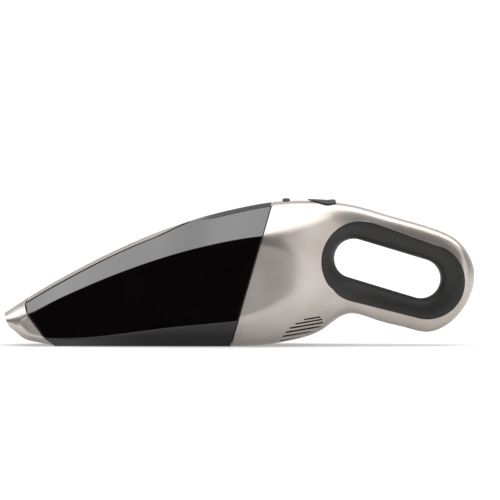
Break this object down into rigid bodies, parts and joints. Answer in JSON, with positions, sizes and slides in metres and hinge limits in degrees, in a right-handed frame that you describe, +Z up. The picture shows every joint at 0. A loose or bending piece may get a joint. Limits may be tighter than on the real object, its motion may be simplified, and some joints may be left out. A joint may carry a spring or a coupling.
{
  "type": "handheld vacuum",
  "caption": "Cordless cyclonic handheld vacuum: smoked faceted dust container with a slot nozzle, metallic body and a closed loop handle with a soft ring.",
  "frame": {"origin": "centre of the bounding box on the plane of the container base", "axes": "+X to the handle and -X to the nozzle, +Y to the machine's right side, +Z up"},
  "size_m": [0.4197, 0.1128, 0.1316],
  "materials": {
    "smoked_plastic": "polished smoked polycarbonate",
    "champagne_plastic": "metallic champagne lacquer over moulded ABS",
    "black_plastic": "moulded, fine grain",
    "grey_plastic": "moulded",
    "seal_rubber": "moulded",
    "soft_grip": "soft-touch, matt",
    "zinc_steel": "zinc plated",
    "steel_mesh": "fine woven mesh",
    "motor_steel": "drawn and zinc plated",
    "filter_cloth": "pleated nonwoven",
    "ferrite": "sintered",
    "wound_core": "stacked plates wound with enamelled copper",
    "terminal_brass": "stamped",
    "battery_cell": "steel cell in a shrink sleeve; aluminium stands for its mean density",
    "board_laminate": "glass fibre board with solder mask",
    "lamp_lens": "clear red",
    "red_pvc": "smooth",
    "black_pvc": "smooth",
    "exhaust_foam": "open-cell foam"
  },
  "bodies": {
    "body": {"left_shell": "champagne_plastic", "right_shell": "champagne_plastic", "grip_ring": "soft_grip", "bulkhead": "grey_plastic", "container_seal": "seal_rubber", "fan_grille": "black_plastic", "fan_shroud": "black_plastic", "fan_housing": "black_plastic", "motor_mount": "seal_rubber", "motor_can": "motor_steel", "motor_end_cap": "black_plastic", "magnet_left": "ferrite", "magnet_right": "ferrite", "motor_terminal_left": "terminal_brass", "motor_terminal_right": "terminal_brass", "battery_cell_1": "battery_cell", "battery_cell_2": "battery_cell", "battery_cell_3": "battery_cell", "cell_plate_left": "grey_plastic", "cell_plate_right": "grey_plastic", "latch_bracket": "zinc_steel", "circuit_board": "board_laminate", "micro_switch": "black_plastic", "charge_lamp": "lamp_lens", "charge_socket": "black_plastic", "red_wire": "red_pvc", "black_wire": "black_pvc", "exhaust_foam_left": "exhaust_foam", "exhaust_foam_right": "exhaust_foam", "shell_screw_1": "zinc_steel", "shell_screw_2": "zinc_steel", "shell_screw_3": "zinc_steel", "shell_screw_4": "zinc_steel", "shell_screw_5": "zinc_steel"},
    "container_unit": {"container_shell": "smoked_plastic", "nozzle": "champagne_plastic", "top_rail": "champagne_plastic", "inlet_duct": "black_plastic", "filter_carrier": "black_plastic"},
    "flap": {"inlet_flap": "seal_rubber", "flap_pin": "zinc_steel"},
    "filter_unit": {"filter_shroud": "grey_plastic", "filter_mesh": "steel_mesh", "pleated_filter": "filter_cloth", "filter_seal": "seal_rubber", "filter_handle": "grey_plastic"},
    "fan": {"impeller": "black_plastic", "impeller_nut": "terminal_brass", "motor_shaft": "zinc_steel", "armature": "wound_core"},
    "slider": {"power_slider": "black_plastic"},
    "button": {"release_button": "black_plastic", "latch_hook": "black_plastic", "button_spring": "zinc_steel"}
  },
  "joints": [
    {"name": "container_pull", "type": "slide", "parent": "body", "child": "container_unit", "axis": [-1, 0, 0], "range_m": [0, 0.16]},
    {"name": "flap_swing", "type": "hinge", "parent": "container_unit", "child": "flap", "pos_m": [-0.1256, 0, 0.04401], "axis": [0, -1, 0], "range_deg": [0, 65], "stiffness_Nm_per_rad": 0.002},
    {"name": "filter_twist", "type": "hinge", "parent": "container_unit", "child": "filter_unit", "pos_m": [0.00698, 0, 0.0519], "axis": [0.9603, 0, -0.279], "range_deg": [0, 30]},
    {"name": "fan_spin", "type": "hinge", "parent": "body", "child": "fan", "pos_m": [0.00698, 0, 0.0519], "axis": [0.9603, 0, -0.279], "continuous": true},
    {"name": "power_slide", "type": "slide", "parent": "body", "child": "slider", "axis": [-0.9985, 0, 0.0548], "range_m": [0, 0.005]},
    {"name": "release_press", "type": "slide", "parent": "body", "child": "button", "axis": [0, 0, -1], "range_m": [0, 0.0025], "stiffness_N_per_m": 500, "springref_m": -0.002, "deforming": ["button_spring"]}
  ]
}
